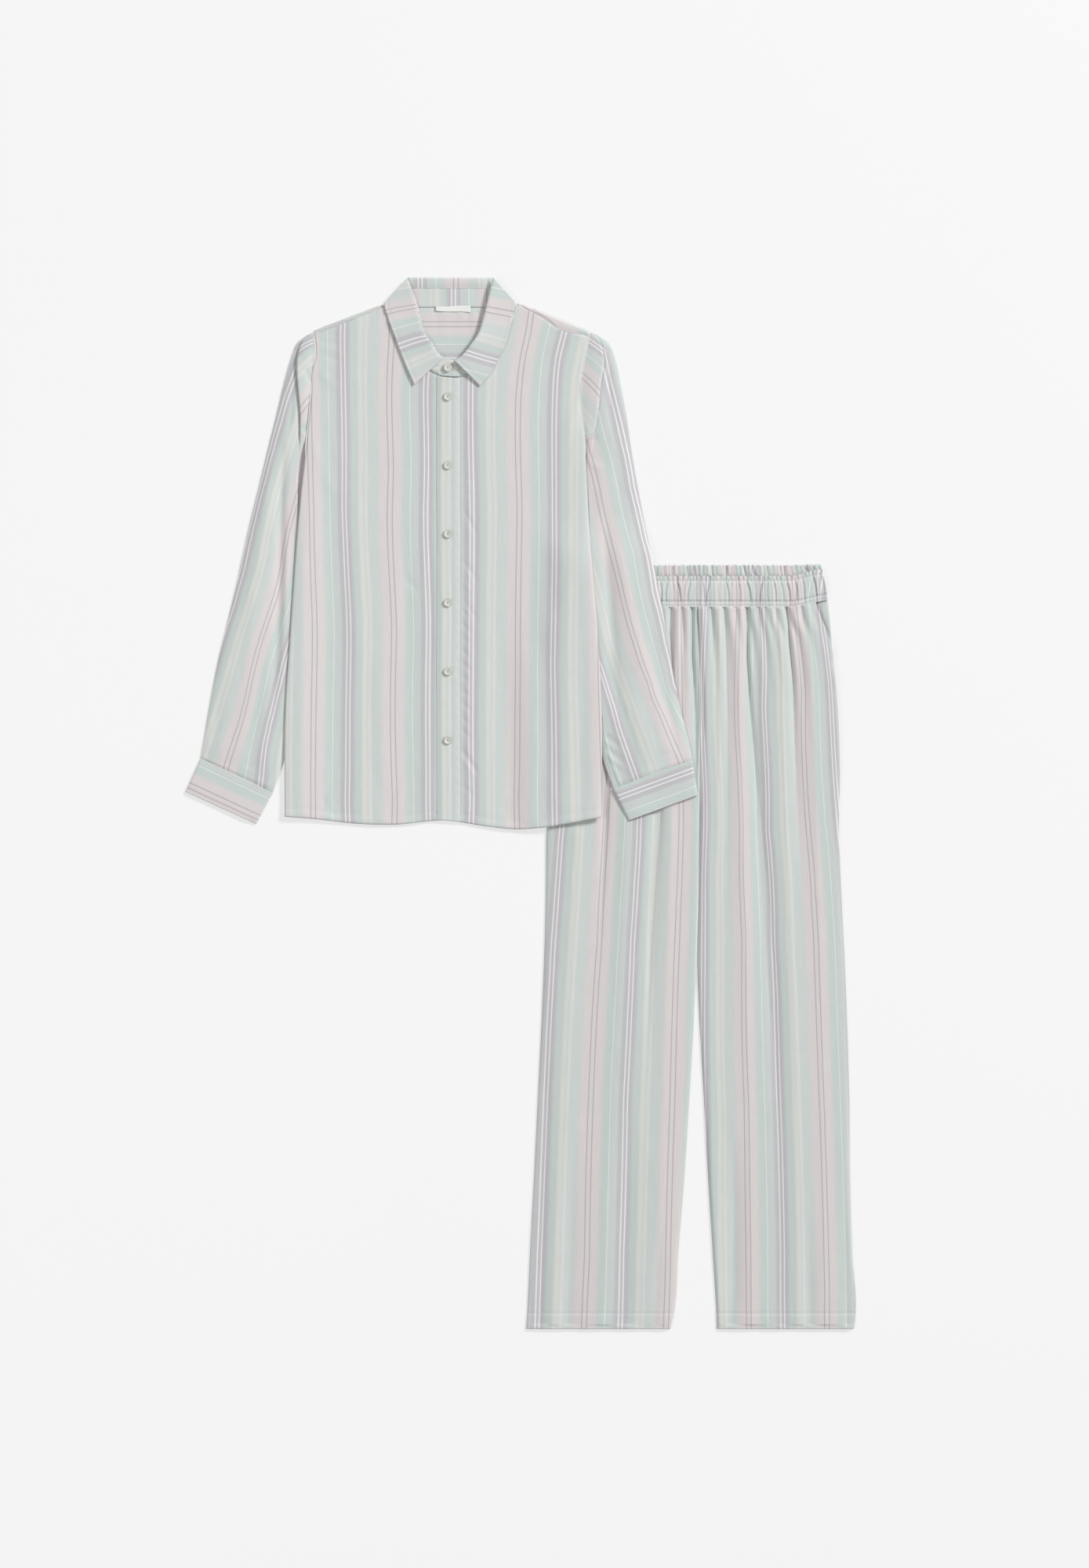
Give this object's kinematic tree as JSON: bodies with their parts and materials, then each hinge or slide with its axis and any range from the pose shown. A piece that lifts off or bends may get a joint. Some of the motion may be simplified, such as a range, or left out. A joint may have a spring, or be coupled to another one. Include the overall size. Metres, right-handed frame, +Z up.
{
  "type": "pyjama set",
  "caption": "Striped pyjama set laid flat: a long-sleeved buttoned shirt over wide trousers with an elastic waist.",
  "frame": {"origin": "middle of the set's bounding box, on the surface it lies on", "axes": "+X to the right of the laid-out set as seen from above, +Y from the hems towards the collar, +Z up from the surface"},
  "size_m": [0.8799, 1.3806, 0.0149],
  "materials": {
    "shirt_cloth": "soft woven cloth with pastel stripes, low sheen",
    "trouser_cloth": "soft woven cloth with pastel stripes, low sheen",
    "button": "pearly, polished",
    "label_tape": "smooth blank woven tape"
  },
  "bodies": {
    "root": {"shirt_back": "shirt_cloth", "shirt_yoke": "shirt_cloth", "sleeve_left": "shirt_cloth", "sleeve_right": "shirt_cloth", "cuff_left": "shirt_cloth", "cuff_right": "shirt_cloth", "shirt_front_left": "shirt_cloth", "shirt_front_right": "shirt_cloth", "front_placket": "shirt_cloth", "collar_stand": "shirt_cloth", "collar": "shirt_cloth", "trouser_back_left": "trouser_cloth", "trouser_back_right": "trouser_cloth", "trouser_front_left": "trouser_cloth", "trouser_front_right": "trouser_cloth", "waistband_back": "trouser_cloth", "waistband_front": "trouser_cloth", "pocket_facing": "trouser_cloth", "button_stand": "button", "button_1": "button", "button_2": "button", "button_3": "button", "button_4": "button", "button_5": "button", "button_6": "button", "neck_label": "label_tape"}
  },
  "joints": []
}
